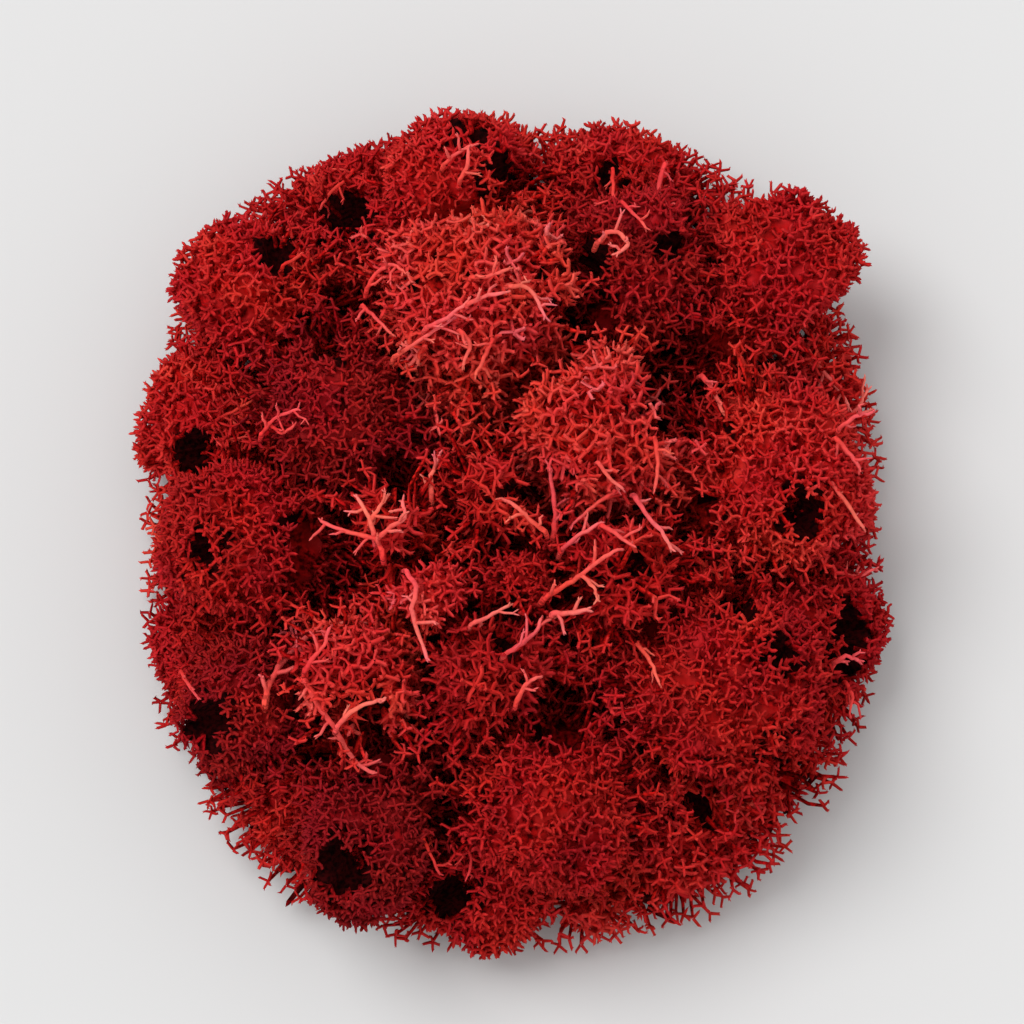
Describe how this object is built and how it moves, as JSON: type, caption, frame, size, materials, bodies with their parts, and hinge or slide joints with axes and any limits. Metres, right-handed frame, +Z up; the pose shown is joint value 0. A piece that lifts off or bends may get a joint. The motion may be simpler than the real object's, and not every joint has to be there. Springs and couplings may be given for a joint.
{
  "type": "reindeer moss clump",
  "caption": "Low cushion of dyed red reindeer moss: rounded heads of fine forked branches pressed together on short stems, standing on its flattened underside.",
  "frame": {"origin": "on the surface the clump stands on, under the middle of its outline", "axes": "+Z up, out of the top of the cushion; +Y towards the top of the picture; +X towards its right-hand side"},
  "size_m": [0.1067, 0.12, 0.0494],
  "materials": {
    "head_coral_main": "matte",
    "head_coral_north": "matte",
    "head_northeast": "matte",
    "head_east": "matte",
    "head_southeast": "matte",
    "head_south": "matte",
    "head_southwest": "matte",
    "head_pale_arc": "matte",
    "head_west": "matte",
    "head_velvet": "matte",
    "head_northwest": "matte",
    "head_coral_middle": "matte",
    "head_west_low": "matte",
    "sprig_antler": "matte",
    "sprig_star": "matte",
    "sprig_middle": "matte",
    "sprig_coral": "matte",
    "sprig_bright": "matte",
    "sprig_deep": "matte",
    "sprig_north": "matte",
    "rim_head_1": "matte",
    "rim_head_2": "matte",
    "rim_head_3": "matte",
    "rim_head_4": "matte",
    "rim_head_5": "matte",
    "rim_head_6": "matte",
    "rim_head_7": "matte",
    "rim_head_8": "matte",
    "rim_head_9": "matte",
    "rim_head_small_1": "matte",
    "rim_head_small_2": "matte",
    "rim_head_small_3": "matte",
    "rim_head_small_4": "matte",
    "rim_sprig_1": "matte",
    "rim_sprig_2": "matte",
    "rim_sprig_3": "matte"
  },
  "bodies": {
    "root": {"head_coral_main": "head_coral_main", "head_coral_north": "head_coral_north", "head_northeast": "head_northeast", "head_east": "head_east", "head_southeast": "head_southeast", "head_south": "head_south", "head_southwest": "head_southwest", "head_pale_arc": "head_pale_arc", "head_west": "head_west", "head_velvet": "head_velvet", "head_northwest": "head_northwest", "head_coral_middle": "head_coral_middle", "head_west_low": "head_west_low", "sprig_antler": "sprig_antler", "sprig_star": "sprig_star", "sprig_middle": "sprig_middle", "sprig_coral": "sprig_coral", "sprig_bright": "sprig_bright", "sprig_deep": "sprig_deep", "sprig_north": "sprig_north", "rim_head_1": "rim_head_1", "rim_head_2": "rim_head_2", "rim_head_3": "rim_head_3", "rim_head_4": "rim_head_4", "rim_head_5": "rim_head_5", "rim_head_6": "rim_head_6", "rim_head_7": "rim_head_7", "rim_head_8": "rim_head_8", "rim_head_9": "rim_head_9", "rim_head_small_1": "rim_head_small_1", "rim_head_small_2": "rim_head_small_2", "rim_head_small_3": "rim_head_small_3", "rim_head_small_4": "rim_head_small_4", "rim_sprig_1": "rim_sprig_1", "rim_sprig_2": "rim_sprig_2", "rim_sprig_3": "rim_sprig_3"}
  },
  "joints": []
}
